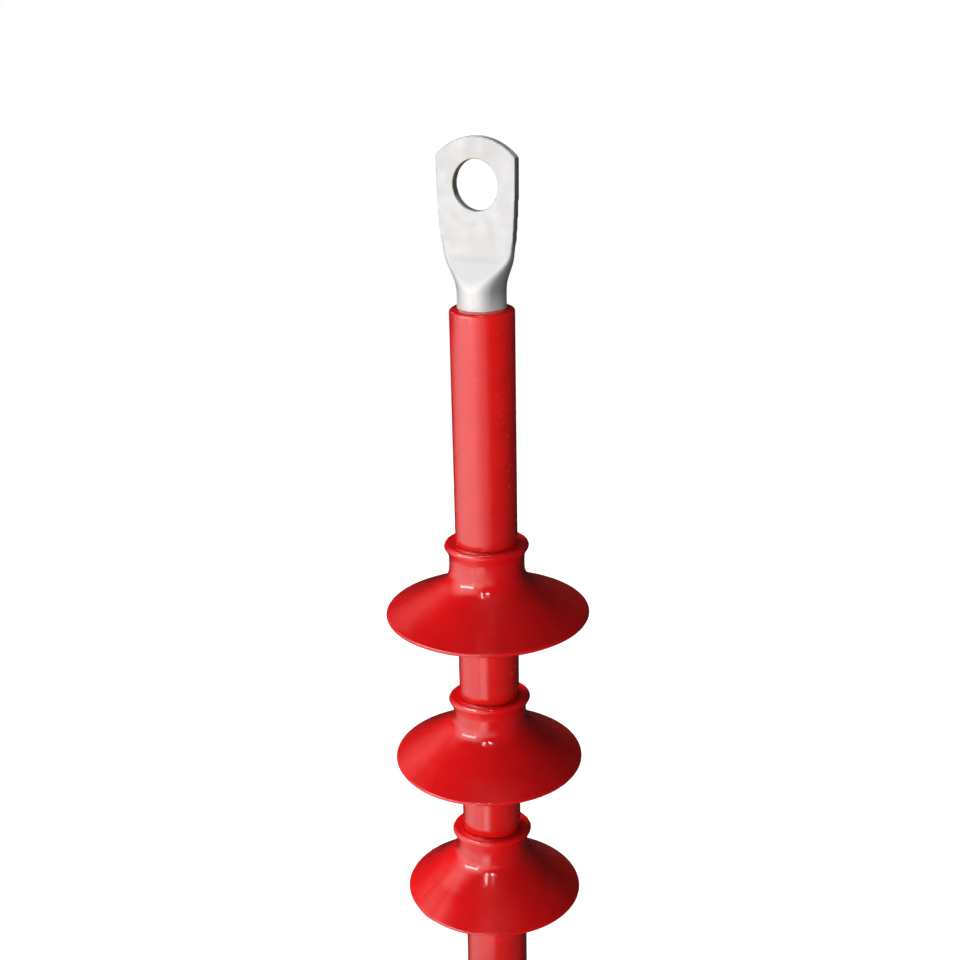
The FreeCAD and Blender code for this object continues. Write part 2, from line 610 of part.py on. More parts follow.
def lug_sealing_mastic(lug):
    """Sealant pressed between tube, lug barrel and insulation, so it takes the lug's shape."""
    blank = new_body("lug_mastic_blank")
    outside = f"({TUBE_BORE} - {GAP})"
    inside = f"(({BARREL_BORE} + {CONDUCTOR} + Sizes.crimp_across_flats / 2) / 3)"
    bevel_radius = f"({INSULATION} - Sizes.insulation_chamfer / 2)"
    face = f"({INSULATION_START} - {GAP})"
    corners = [(inside, LUG_MASTIC_START), (outside, LUG_MASTIC_START),
               (outside, f"({CHAMFER_END} - 2 * {GAP})"),
               (f"({bevel_radius} + {GAP})", face), (SCREEN_BORE, face),
               (SCREEN_BORE, BARREL_END), (inside, BARREL_END)]
    revolve(blank, outline(blank, "section", corners))
    sealant = document.addObject("Part::Cut", "lug_sealing_mastic")
    sealant.Base = blank
    sealant.Tool = lug
    sealant.Label = "lug_sealing_mastic"
    return sealant


def sheath_sealing_mastic():
    """Sealant over the end of the outer sheath, under the red tube."""
    body = new_body("sheath_sealing_mastic")
    start = f"({SHEATH_CUT} + {GAP})"
    end = f"({start} + Sizes.sheath_mastic_length)"
    bore = f"({ABRADED_SHEATH} + {GAP})"
    corners = [(bore, start), (SHEATH_MASTIC, start), (SHEATH_MASTIC, end), (bore, end)]
    revolve(body, outline(body, "section", corners))
    return body


def seat_radius(root):
    """Outside of the red tube under a shed whose bore ends at a depth."""
    step = f"({STRESS_START} - Sizes.shrink_ramp)"
    return f"({root} + {GAP} > {step} ? {TUBE_OVER_STRESS} : {TUBE})"


def rain_shed(place, top):
    """Moulded skirt with a flared collar, and its ring of hot melt, shrunk onto the red tube."""
    body = new_body(f"rain_shed_{place}")
    droop = f"Sizes.{place}_shed_droop"
    inwards = f"sin({droop})"
    downwards = f"cos({droop})"
    foot = f"({top} + Sizes.{place}_collar_length)"
    root = f"({foot} + Sizes.skirt_root_wall / {downwards})"
    adhesive_bore = f"({seat_radius(root)} + {GAP})"
    adhesive_outside = f"({adhesive_bore} + Sizes.shed_adhesive_wall)"
    collar_bore = f"({adhesive_outside} + {GAP})"
    collar = f"({collar_bore} + Sizes.collar_wall)"
    fall = f"(Sizes.skirt_slant * {inwards})"
    reach = f"(Sizes.skirt_slant * {downwards})"
    rim = f"({collar} + {reach})"
    rim_depth = f"({foot} + {fall})"
    lip = f"({collar} + Sizes.collar_lip)"
    groove_rim = f"({collar_bore} + Sizes.collar_groove)"
    bend = f"({collar} + {reach} / 2 - Sizes.skirt_sag * {inwards})"
    bend_depth = f"({foot} + {fall} / 2 + Sizes.skirt_sag * {downwards})"
    bend_wall = "((Sizes.skirt_root_wall + Sizes.skirt_rim_wall) / 2)"
    under_rim = (f"({rim} - Sizes.skirt_rim_wall * {inwards})",
                 f"({rim_depth} + Sizes.skirt_rim_wall * {downwards})")
    corners = [
        (collar_bore, f"({top} + Sizes.collar_groove)"),
        (groove_rim, top),
        (lip, top),
        (lip, f"({top} + Sizes.collar_lip)"),
        (collar, f"({top} + Sizes.collar_lip_height)"),
        (collar, foot),
        (bend, bend_depth),
        (rim, rim_depth),
        under_rim,
        (f"({bend} - {bend_wall} * {inwards})", f"({bend_depth} + {bend_wall} * {downwards})"),
        (collar, root),
        (collar_bore, root),
    ]
    turned = revolve(body, outline(body, "section", corners))
    lip_rings = [(lip, top), (lip, f"({top} + Sizes.collar_lip)")]
    lip_edges = ease_rings(body, turned, lip_rings, "Sizes.collar_lip_bevel", "rolled_lip",
                           "Chamfer")
    foot_edge = ease_rings(body, lip_edges, [(collar, foot)], "Sizes.foot_bevel", "foot",
                           "Chamfer")
    ease_rings(body, foot_edge, [(rim, rim_depth), under_rim],
               f"Sizes.skirt_rim_wall * {RIM_BEVEL_SHARE}", "soft_rim", "Chamfer")
    adhesive = sleeve(f"shed_adhesive_{place}", adhesive_bore, adhesive_outside,
                      f"({top} + Sizes.collar_groove + {GAP})", f"({root} - {GAP})")
    return [body, adhesive]


def rain_sheds():
    """Three sheds down the tube, each with its ring of hot melt."""
    top = "Sizes.top_shed_depth"
    middle = f"({top} + Sizes.upper_shed_spacing)"
    bottom = f"({middle} + Sizes.lower_shed_spacing)"
    pieces = []
    for place, depth in (("top", top), ("middle", middle), ("bottom", bottom)):
        pieces.extend(rain_shed(place, depth))
    return pieces


def termination():
    """Every piece that is written out."""
    lug = cable_lug()
    pieces = [lug] + conductor()
    pieces.append(sleeve("conductor_screen", SCREEN_BORE, SCREEN, INSULATION_START, CABLE_END))
    pieces.append(xlpe_insulation())
    pieces.append(insulation_screen())
    pieces.append(sleeve("copper_tape_screen", COPPER_BORE, COPPER, COPPER_CUT, CABLE_END))
    pieces.append(sleeve("binder_tape", BINDER_BORE, BINDER, SHEATH_CUT, CABLE_END))
    pieces.append(outer_sheath())
    pieces.append(stress_grading_mastic())
    pieces.append(stress_control_tube())
    pieces.append(lug_sealing_mastic(lug))
    pieces.append(sheath_sealing_mastic())
    pieces.append(anti_track_tube())
    return pieces + rain_sheds()


pieces = termination()
document.recompute()
for item in document.Objects:
    if "Invalid" in item.State or "Error" in item.State:
        raise RuntimeError(f"{item.Label} did not build: {item.State}")
for piece in pieces:
    if piece.Shape.isNull() or not piece.Shape.isValid():
        raise RuntimeError(f"{piece.Label} has no valid shape")

os.makedirs("parts", exist_ok=True)
for piece in pieces:
    piece.Shape.exportStep(f"parts/{piece.Label}.step")
    print(piece.Label, len(piece.Shape.Solids), round(piece.Shape.Volume, 1))
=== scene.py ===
import math

import bmesh
import bpy
import numpy as np
from mathutils import Matrix, Vector


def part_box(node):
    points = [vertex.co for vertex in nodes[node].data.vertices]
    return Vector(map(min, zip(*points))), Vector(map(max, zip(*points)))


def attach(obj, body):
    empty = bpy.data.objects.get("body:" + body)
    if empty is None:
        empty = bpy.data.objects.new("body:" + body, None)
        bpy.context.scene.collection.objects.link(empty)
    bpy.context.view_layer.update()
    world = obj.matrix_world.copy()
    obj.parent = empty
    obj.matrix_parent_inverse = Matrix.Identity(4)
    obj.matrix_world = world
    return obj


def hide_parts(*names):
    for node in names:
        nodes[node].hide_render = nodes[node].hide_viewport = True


# Looks of the heat shrink termination. Everything is in metres in the CAD frame; sections and
# shapes below are written in millimetres and scaled when a mesh is made.
MM = 0.001

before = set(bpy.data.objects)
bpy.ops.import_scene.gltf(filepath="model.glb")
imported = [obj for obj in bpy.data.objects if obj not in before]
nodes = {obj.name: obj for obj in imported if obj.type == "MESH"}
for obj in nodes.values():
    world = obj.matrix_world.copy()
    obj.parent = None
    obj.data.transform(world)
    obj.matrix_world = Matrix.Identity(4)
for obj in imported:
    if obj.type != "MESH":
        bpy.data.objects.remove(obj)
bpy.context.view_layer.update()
scene = bpy.context.scene

# The camera stands this far round from the palm's front, towards +X.
CAMERA_SIDE = math.radians(29)
CAMERA_PLACE = Vector((0.20825, -0.37964, 0.057))
CAMERA_DOWN = math.radians(20.515)
CAMERA_ROLL = math.radians(-1.215)
CAMERA_LENS = 48.01
# Level directions to the camera's right and away from it.
RIGHT = np.array([math.cos(CAMERA_SIDE), math.sin(CAMERA_SIDE)])
AWAY = np.array([-math.sin(CAMERA_SIDE), math.cos(CAMERA_SIDE)])

FLOOR_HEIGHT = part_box("outer_sheath")[0].z
# The lights aim at this height on the cable's axis.
AIM_HEIGHT = -0.17
AIM = Vector((0, 0, AIM_HEIGHT))


def make_camera():
    """Camera at the photograph's viewing angle."""
    data = bpy.data.cameras.new("camera")
    data.lens = CAMERA_LENS
    data.sensor_width = 36
    data.clip_start = 0.01
    data.clip_end = 60
    camera = bpy.data.objects.new("camera", data)
    camera.matrix_world = (
        Matrix.Translation(CAMERA_PLACE)
        @ Matrix.Rotation(CAMERA_SIDE, 4, "Z")
        @ Matrix.Rotation(math.pi / 2 - CAMERA_DOWN, 4, "X")
        @ Matrix.Rotation(CAMERA_ROLL, 4, "Z"))
    scene.collection.objects.link(camera)
    scene.camera = camera


make_camera()


# Shapes.

# Corners flatter than this half angle, in radians, are left as they are.
NEARLY_STRAIGHT = 1.55
# An eased corner takes up no more than this share of its shorter side.
EASED_SHARE = 0.75
# Radius of the bend in the middle of a sagging side.
SAG_RADIUS = 90


def smooth_step(low, high, x):
    """0 below low, 1 above high, and an even change between."""
    share = np.clip((x - low) / (high - low), 0, 1)
    return share * share * (3 - 2 * share)


def unit(vector):
    """A vector's direction, one long."""
    return vector / np.linalg.norm(vector)


def eased_section(corners, longest, turn):
    """Points round a closed section whose corners are (across, height, radius of the corner).

    longest is the longest step along a side, and turn the largest one round a corner, in radians.
    """
    spots = np.array([corner[:2] for corner in corners], float)
    count = len(corners)
    points = []
    for index, (here, corner) in enumerate(zip(spots, corners)):
        radius = corner[2]
        to_last = spots[index - 1] - here
        to_next = spots[(index + 1) % count] - here
        half = math.acos(np.clip(unit(to_last) @ unit(to_next), -1, 1)) / 2
        if radius == 0 or half > NEARLY_STRAIGHT:
            points.append(here)
            continue
        shortest = min(np.linalg.norm(to_last), np.linalg.norm(to_next))
        back = min(radius / math.tan(half), EASED_SHARE * shortest)
        centre = here + unit(unit(to_last) + unit(to_next)) * back / math.cos(half)
        first = here + unit(to_last) * back - centre
        last = here + unit(to_next) * back - centre
        sweep = math.pi - 2 * half
        steps = max(2, math.ceil(sweep / turn))
        for step in range(steps + 1):
            share = step / steps
            mixed = math.sin((1 - share) * sweep) * first + math.sin(share * sweep) * last
            points.append(centre + mixed / math.sin(sweep))
    dense = []
    for start, end in zip(points, points[1:] + points[:1]):
        pieces = max(1, math.ceil(np.linalg.norm(end - start) / longest))
        dense.extend(start + (end - start) * piece / pieces for piece in range(pieces))
    return np.array(dense)


def sagging(start, end, sag):
    """Soft corner half way between two others, lowered by sag."""
    start = np.array(start, float)
    end = np.array(end, float)
    along = unit(end - start)
    down = np.array([along[1], -along[0]])
    return tuple((start + end) / 2 + down * sag) + (SAG_RADIUS,)


class Ripples:
    """Smooth waves in angle and height, the same each run, for slightly uneven surfaces."""

    def __init__(self, seed, count, turns, pitch):
        draw = np.random.default_rng(seed)
        self.turns = draw.integers(1, turns + 1, count)
        self.rise = draw.uniform(-1, 1, count) * 2 * math.pi / pitch
        self.start = draw.uniform(0, 2 * math.pi, count)
        self.size = draw.uniform(0.4, 1, count)

    def at(self, angle, height):
        """Between about -1 and 1."""
        total = 0
        for turns, rise, start, size in zip(self.turns, self.rise, self.start, self.size):
            total = total + size * np.sin(turns * angle + rise * height + start)
        return total / self.size.sum()


def turned(name, section, segments, shape):
    """Smooth object: a closed section turned about the cable's axis.

    shape moves the grid of points, given as angle, across and height in millimetres.
    """
    angle = np.linspace(0, 2 * math.pi, segments, endpoint=False)[:, None]
    across = section[None, :, 0]
    height = np.repeat(section[None, :, 1], segments, axis=0)
    x, y, z = shape(angle, across, height)
    points = np.stack([x, y, z], axis=-1).reshape(-1, 3)
    rows = len(section)
    faces = []
    for turn in range(segments):
        here = turn * rows
        there = (turn + 1) % segments * rows
        for row in range(rows):
            above = (row + 1) % rows
            faces.append((here + row, there + row, there + above, here + above))
    mesh = bpy.data.meshes.new(name)
    mesh.from_pydata((points * MM).tolist(), [], faces)
    work = bmesh.new()
    work.from_mesh(mesh)
    bmesh.ops.recalc_face_normals(work, faces=work.faces)
    work.to_mesh(mesh)
    work.free()
    mesh.shade_smooth()
    piece = bpy.data.objects.new(name, mesh)
    scene.collection.objects.link(piece)
    return piece


def ride_for(piece, node):
    """Put a piece in the place of a CAD node."""
    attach(piece, "root")
    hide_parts(node)
    return piece


# Red tube: the radius of its bore and the depth where it is reached, as in the CAD.
TUBE_STEPS = [(8.95, 41.2), (9.85, 292), (10.45, 352), (10.7, 376), (12.85, 402)]
TUBE_END = 440
TUBE_WALL = 2.5
SHRINK_RAMP = 8
BARREL = 8.6
# Radii of its bends, inside and outside, and of its ends' edges.
TUBE_BENDS = (10, 12)
TUBE_END_EDGES = (0.4, 0.5)
TUBE_TOP_EDGE = 1.3
# The wall thins a little at the top's outside, and its bore tapers onto the barrel: (across,
# below the top, radius).
TUBE_TOP_DROP = 0.8
TUBE_SNUG = [(BARREL + 0.06, 0.1, 0.2), (TUBE_STEPS[0][0], 2.2, 0.3)]
# Outside of the bore by these distances, the surface starts to move and moves fully.
TUBE_SKIN = (1.2, 2.4)
# How far the skin wanders and is drawn in, and how far the ends wave up and down.
TUBE_WANDER = 0.05
TUBE_PULL = 0.02
TUBE_TOP_WAVE = 0.22
TUBE_END_WAVE = 0.2
# Heights between which these waves grow towards the ends.
TUBE_TOP_ZONE = (-48, -42)
TUBE_END_ZONE = (-436, -440)
# The lower part's skin lies this far to the right, from the first to the second height.
TUBE_SHIFT = 1.2
TUBE_SHIFT_ZONE = (-258, -292)
TUBE_SEGMENTS = 256


def red_tube():
    """The shrunk tube: softened, slightly uneven ends, and a wall that wanders a little."""
    inside = []
    for index, (radius, depth) in enumerate(TUBE_STEPS):
        if index:
            inside.append((TUBE_STEPS[index - 1][0], -(depth - SHRINK_RAMP), TUBE_BENDS[0]))
        inside.append((radius, -depth, TUBE_BENDS[0]))
    inside.append((TUBE_STEPS[-1][0], -TUBE_END, TUBE_END_EDGES[0]))
    outside = [(radius + TUBE_WALL, height, TUBE_BENDS[1]) for radius, height, _ in inside]
    outside[0] = (outside[0][0], outside[0][1] - TUBE_TOP_DROP, TUBE_TOP_EDGE)
    outside[-1] = outside[-1][:2] + (TUBE_END_EDGES[1],)
    top = -TUBE_STEPS[0][1]
    snug = [(across, top - below, radius) for across, below, radius in TUBE_SNUG]
    section = eased_section(snug + inside[1:] + outside[::-1], longest=1.6, turn=0.12)
    wander = Ripples(seed=11, count=9, turns=3, pitch=70)
    pull = Ripples(seed=5, count=10, turns=9, pitch=400)
    end = Ripples(seed=23, count=6, turns=4, pitch=400)

    def shape(angle, across, height):
        bore = np.interp(
            -height, [depth for _, depth in TUBE_STEPS], [radius for radius, _ in TUBE_STEPS])
        skin = smooth_step(*TUBE_SKIN, across - bore)
        radius = across + skin * (TUBE_WANDER * wander.at(angle, height)
                                  + TUBE_PULL * pull.at(angle, height))
        near_top = smooth_step(*TUBE_TOP_ZONE, height)
        near_end = smooth_step(*TUBE_END_ZONE, height)
        shift = skin * smooth_step(*TUBE_SHIFT_ZONE, height) * TUBE_SHIFT
        x = radius * np.cos(angle) + shift * RIGHT[0]
        y = radius * np.sin(angle) + shift * RIGHT[1]
        z = height + (near_top * TUBE_TOP_WAVE - near_end * TUBE_END_WAVE) * end.at(angle, 0)
        return x, y, z

    piece = turned("red_tube", section, TUBE_SEGMENTS, shape)
    return ride_for(piece, "anti_track_tube")


# Sheds, from their lips' tops down, as in the CAD.
SEAT = 11.45
COLLAR_BORE = 11.85
COLLAR = 14.0
LIP = 15.75
LIP_HEIGHT = 4.6
# A hair under the CAD's 27.7, so that the ripples stay inside its box.
SKIRT = 27.65
ROOT_WALL = 3.0
RIM_WALL = 1.9
# How far the middle of the skirt hangs below a straight line, on both faces.
SAG = 0.9
# The lip is widest this far below its top.
LIP_WIDEST = 1.7
# Corners of the lip's section: (across, below the top, radius).
LIP_CORNERS = [
    (COLLAR_BORE, 1.3, 0.1),
    (SEAT + 0.08, 0.5, 0.15),
    (LIP - 0.75, -0.05, 0.9),
    (LIP + 0.08, LIP_WIDEST, 1.4),
]
# Radii of the rim's upper and lower edges, of the skirt's root inside and of the bore's foot.
RIM_EDGES = (0.7, 0.75)
ROOT_RADIUS = 2.0
BORE_EDGE = 0.5
# Outside of the collar by these distances, the rim's waves and shift set in, the drop of the
# neck's foot ends and a dent reaches its depth.
FLARE_START = 1
FOOT_ZONE = (1, 16)
DENT_ZONE = (3, 11)
# The skirt's lean sets in over this much on both sides of the collar's outside, and the lip's
# from this far above the foot.
SKIRT_BLEND = 1.5
LIP_START = 0.5
# The drop ends between this far above the foot and this far below the top.
DROP_ABOVE_FOOT = 1
DROP_BELOW_TOP = 3
# The skin's waves reach this far in from the collar's outside.
SKIN_DEPTH = 1
SKIN_WAVE = 0.04
RIM_WAVE = 0.16
SHED_SEGMENTS = 288


def rain_shed(place, depth, collar, droop, feet, rim_lean, lip_lean, seed, foot_drop=0,
              rim_shift=0, dents=()):
    """Moulded skirt whose rim and lip lean a little.

    feet is (radius under the lip, radius between neck and skirt), and foot_drop is how much lower
    the neck's foot sits in front. The leans are (rise, tilt to the right, tilt away): millimetres,
    then degrees. rim_shift moves the rim to the right.
    dents are (bearing from the camera, width, depth) of shallow radial creases in the skirt.
    """
    slope = math.radians(droop)
    inwards = math.sin(slope)
    downwards = math.cos(slope)
    top = -depth
    foot = top - collar
    rim = COLLAR + SKIRT * downwards
    rim_height = foot - SKIRT * inwards
    under_rim = (rim - RIM_WALL * inwards, rim_height - RIM_WALL * downwards)
    root = foot - ROOT_WALL / downwards
    corners = [(across, top - below, radius) for across, below, radius in LIP_CORNERS] + [
        (COLLAR, top - LIP_HEIGHT, feet[0]),
        (COLLAR, foot, feet[1]),
        sagging((COLLAR, foot), (rim, rim_height), SAG),
        (rim, rim_height, RIM_EDGES[0]),
        under_rim + (RIM_EDGES[1],),
        sagging(under_rim, (COLLAR, root), -SAG),
        (COLLAR, root, ROOT_RADIUS),
        (COLLAR_BORE, root, BORE_EDGE),
    ]
    section = eased_section(corners, longest=1.2, turn=0.2)
    rim_waves = Ripples(seed, count=6, turns=5, pitch=900)
    skin_waves = Ripples(seed + 1, count=10, turns=7, pitch=60)

    def shape(angle, across, height):
        flare = smooth_step(COLLAR + FLARE_START, rim, across)
        skirt = smooth_step(COLLAR - SKIRT_BLEND, COLLAR + SKIRT_BLEND, across)
        lip = smooth_step(foot + LIP_START, top - LIP_WIDEST, height)
        right = RIGHT[0] * np.cos(angle) + RIGHT[1] * np.sin(angle)
        away = AWAY[0] * np.cos(angle) + AWAY[1] * np.sin(angle)
        lean = np.zeros_like(height)
        for share, (rise, to_right, back) in ((skirt * (1 - lip), rim_lean), (lip, lip_lean)):
            slope_here = (math.tan(math.radians(to_right)) * right
                          + math.tan(math.radians(back)) * away)
            lean = lean + share * (rise + across * slope_here)
        near_foot = (
            1 - smooth_step(COLLAR + FOOT_ZONE[0], COLLAR + FOOT_ZONE[1], across)) * (
            1 - smooth_step(foot + DROP_ABOVE_FOOT, top - DROP_BELOW_TOP, height))
        lean = lean - foot_drop * near_foot * ((1 - away) / 2) ** 2
        for bearing, width, hollow in dents:
            off = np.angle(np.exp(1j * (np.arctan2(right, -away) - math.radians(bearing))))
            crease = np.exp(-(off / math.radians(width)) ** 2)
            lean = lean - hollow * crease * smooth_step(
                COLLAR + DENT_ZONE[0], COLLAR + DENT_ZONE[1], across)
        outer = smooth_step(COLLAR - SKIN_DEPTH, COLLAR, across)
        radius = across + outer * SKIN_WAVE * skin_waves.at(angle, height)
        x = radius * np.cos(angle) + flare * rim_shift * RIGHT[0]
        y = radius * np.sin(angle) + flare * rim_shift * RIGHT[1]
        z = height + lean + flare * RIM_WAVE * rim_waves.at(angle, 0)
        return x, y, z

    piece = turned(f"shed_{place}", section, SHED_SEGMENTS, shape)
    return ride_for(piece, f"rain_shed_{place}")


# Lug: points nearer to each other than this, in metres, are joined.
WELD_DISTANCE = 1e-6
# Size of the cells of its new mesh, and rounds of smoothing for its edges.
LUG_CELL = 0.32
EDGE_ROUNDS = 4
# The pressed shoulder between barrel and palm has no creases: rounds of smoothing, and the heights
# over which they set in from below and from above.
SHOULDER_ROUNDS = 90
SHOULDER_BELOW = (-37, -32)
SHOULDER_ABOVE = (-17, -22)


def worn_lug():
    """The CAD's lug with its edges softened as tumbled and tinned tube is."""
    mesh = nodes["cable_lug"].data.copy()
    lug = bpy.data.objects.new("tinned_lug", mesh)
    scene.collection.objects.link(lug)
    work = bmesh.new()
    work.from_mesh(mesh)
    bmesh.ops.remove_doubles(work, verts=work.verts, dist=WELD_DISTANCE)
    work.to_mesh(mesh)
    work.free()
    remesh = lug.modifiers.new("remesh", "REMESH")
    remesh.mode = "VOXEL"
    remesh.voxel_size = LUG_CELL * MM
    smooth(lug, "soften", EDGE_ROUNDS)
    apply_modifiers(lug)
    shoulder = lug.vertex_groups.new(name="shoulder")
    for vertex in lug.data.vertices:
        height = vertex.co.z / MM
        share = float(smooth_step(*SHOULDER_BELOW, height) * smooth_step(*SHOULDER_ABOVE, height))
        if share > 0:
            shoulder.add([vertex.index], share, "REPLACE")
    smooth(lug, "blend", SHOULDER_ROUNDS).vertex_group = "shoulder"
    apply_modifiers(lug)
    lug.data.shade_smooth()
    return ride_for(lug, "cable_lug")


def smooth(piece, name, rounds):
    """Add a smoothing modifier."""
    modifier = piece.modifiers.new(name, "SMOOTH")
    modifier.factor = 0.5
    modifier.iterations = rounds
    return modifier


def apply_modifiers(piece):
    """Bake an object's modifiers into its mesh."""
    graph = bpy.context.evaluated_depsgraph_get()
    final = bpy.data.meshes.new_from_object(piece.evaluated_get(graph))
    piece.modifiers.clear()
    piece.data = final


tube = red_tube()
sheds = [
    rain_shed("top", depth=129.5, collar=14.0, droop=28.6, feet=(4.5, 8.5),
              rim_lean=(0, 0, -1.45), lip_lean=(0.6, 0, -3), seed=31),
    rain_shed("middle", depth=193.4, collar=9.5, droop=35.6, feet=(3, 7), foot_drop=1.7,
              rim_lean=(0, -0.38, -1.2), rim_shift=-0.6, lip_lean=(0.9, 1.5, -6.5), seed=47),
    rain_shed("bottom", depth=253.7, collar=8.7, droop=40.8, feet=(3, 7), foot_drop=1.9,
              rim_lean=(0, -0.91, -3.18), rim_shift=0.5, lip_lean=(1.5, 0, -7.5), seed=59,
              dents=((-52, 7, 0.5),)),
]
lug = worn_lug()


# Materials.

NOISE_ROUGHNESS = 0.55
# The middle range of a noise, stretched out to give clouds and patches.
CLOUDED = (0.3, 0.7)


class Wiring:
    """Node tree of a material or world, filled one node at a time."""

    def __init__(self, owner):
        owner.use_nodes = True
        self.owner = owner
        self.tree = owner.node_tree
        self.tree.nodes.clear()

    def add(self, kind, inputs=None, **settings):
        """One node; inputs are numbers, colours or the sockets that feed them."""
        node = self.tree.nodes.new(kind)
        for key, setting in settings.items():
            setattr(node, key, setting)
        for key, given in (inputs or {}).items():
            if isinstance(given, bpy.types.NodeSocket):
                self.tree.links.new(given, node.inputs[key])
            else:
                node.inputs[key].default_value = given
        return node

    def levels(self, source, low, high, to_low=0.0, to_high=1.0, **settings):
        """Stretch a range of a value onto another, and hold it there."""
        return self.add("ShaderNodeMapRange", {
            "Value": source, "From Min": low, "From Max": high,
            "To Min": to_low, "To Max": to_high}, **settings).outputs["Result"]

    def math(self, kind, first, second=0.0):
        """One sum with two values."""
        return self.add("ShaderNodeMath", {0: first, 1: second}, operation=kind).outputs[0]

    def blend(self, share, first, second):
        """Number between two, by a value."""
        return self.add("ShaderNodeMix", {0: share, 2: first, 3: second}).outputs[0]

    def surface(self, shader, kind="ShaderNodeOutputMaterial"):
        """Lead a shader to the output and give back what the tree belongs to."""
        self.add(kind, {"Surface": shader.outputs[0]})
        return self.owner


class Recipe(Wiring):
    """A material's nodes, laid out in object coordinates; sizes are in millimetres."""

    def __init__(self, name):
        super().__init__(bpy.data.materials.new(name))
        coordinates = self.add("ShaderNodeTexCoord").outputs
        self.place = coordinates["Object"]
        self.normal = coordinates["Normal"]

    def spot(self, stretch=(1, 1, 1), shift=0):
        """Object coordinates, squeezed along each axis."""
        return self.add("ShaderNodeMapping", {
            "Vector": self.place, "Scale": stretch,
            "Location": (shift, shift, shift)}).outputs["Vector"]

    def noise(self, size, detail=3, stretch=(1, 1, 1), shift=0, bend=0):
        """Noise from 0 to 1 with blotches of about one size."""
        return self.add("ShaderNodeTexNoise", {
            "Vector": self.spot(stretch, shift), "Scale": 1 / (size * MM), "Detail": detail,
            "Roughness": NOISE_ROUGHNESS, "Distortion": bend}).outputs["Fac"]

    def clouds(self, size, detail=3, to_low=0.0, to_high=1.0, shift=0):
        """Noise whose middle range is stretched onto another."""
        return self.levels(self.noise(size, detail, shift=shift), *CLOUDED, to_low, to_high)

    def cells(self, size, stretch):
        """Distance to the nearest of scattered spots, in cell sizes."""
        return self.add("ShaderNodeTexVoronoi", {
            "Vector": self.spot(stretch), "Scale": 1 / (size * MM)}).outputs["Distance"]

    def mix(self, share, first, second):
        """Colour between two, by a value."""
        ends = [end if isinstance(end, bpy.types.NodeSocket) else (*end, 1)
                for end in (first, second)]
        return self.add("ShaderNodeMix", {0: share, 6: ends[0], 7: ends[1]},
                        data_type="RGBA").outputs[2]

    def bump(self, height, deep, below=None):
        """Relief of a depth in millimetres, on top of another bump."""
        inputs = {"Height": height, "Strength": 1.0, "Distance": deep * MM}
        if below is not None:
            inputs["Normal"] = below
        return self.add("ShaderNodeBump", inputs).outputs["Normal"]

    def finish(self, **inputs):
        """The surface itself, from sockets and plain numbers."""
        named = {key.replace("_", " "): given for key, given in inputs.items()}
        return self.surface(self.add("ShaderNodeBsdfPrincipled", named))


# Red polymer: each piece's colour and the deeper one in its clouds.
TUBE_REDS = ((0.74, 0.0095, 0.0085), (0.66, 0.0065, 0.0065))
SHED_REDS = ((0.76, 0.0075, 0.009), (0.68, 0.005, 0.007))
DUST_PINK = (0.7, 0.2, 0.17)
DUST_SHARE = 0.02
# Depths of its orange peel, of the lines drawn down it and of its dimples, at full relief.
PEEL_DEPTH = 0.014
LINE_DEPTH = 0.006
DIMPLE_DEPTH = 0.004


def red_shrunk(name, reds, roughness, relief, seed):
    """Glossy heat shrink polymer: faint mottling, drawn lines down its length and soft dimples."""
    recipe = Recipe(name)
    colour, deep = reds
    shade = recipe.mix(recipe.clouds(9, 4, shift=seed), deep, colour)
    dust = recipe.levels(recipe.noise(0.5, 2), 0.66, 0.8)
    base = recipe.mix(recipe.math("MULTIPLY", dust, DUST_SHARE), shade, DUST_PINK)
    patches = recipe.clouds(5, 3, shift=seed + 2)
    handled = recipe.math("MULTIPLY", patches, roughness * 0.35)
    rough = recipe.math("ADD", handled, roughness * 0.82)
    peel = recipe.bump(recipe.noise(1.6, 2, shift=seed + 1), relief * PEEL_DEPTH)
    drawn = recipe.noise(1.1, 3, stretch=(1, 1, 0.06), shift=seed)
    lines = recipe.bump(drawn, relief * LINE_DEPTH, peel)
    dimples = recipe.levels(recipe.cells(13, stretch=(1, 1, 0.7)), 0.0, 0.1)
    pits = recipe.bump(dimples, relief * DIMPLE_DEPTH, lines)
    return recipe.finish(Base_Color=base, Roughness=rough, Normal=pits, Coat_Weight=1.0,
                         Coat_Roughness=0.1, Coat_IOR=1.6, Coat_Normal=pits)


# Tin: the darker and lighter grey of palm and barrel, and the greys of what is worn; the edge, side
# and hole-wall greys are painted shade, and the shoulder and tip greys are painted highlights.
PALM_GREYS = ((0.53, 0.523, 0.52), (0.57, 0.563, 0.558))
BARREL_GREYS = ((0.63, 0.624, 0.62), (0.67, 0.664, 0.66))
RUBBED_GREY = (0.5, 0.49, 0.48)
STAIN = (0.62, 0.5, 0.3)
EDGE_SHADE_GREY = (0.2, 0.205, 0.215)
SHOULDER_HIGHLIGHT_GREY = (0.70, 0.693, 0.69)
TIP_HIGHLIGHT_GREY = (0.8, 0.84, 0.88)
SIDE_SHADE_GREY = (0.17, 0.162, 0.157)
# Heights in metres over which the barrel turns into the palm: its grey, its flat and its painted
# edge shade.
GREY_HEIGHTS = (-0.034, -0.026)
FLAT_HEIGHTS = (-0.026, -0.022)
EDGE_SHADE_HEIGHTS = (-0.045, -0.035)
# Distances in metres from the hole's centre: the hole's wall ends, and the stain round it fades.
HOLE_WALL = (0.0084, 0.0086)
STAIN_REACH = (0.0086, 0.0102)


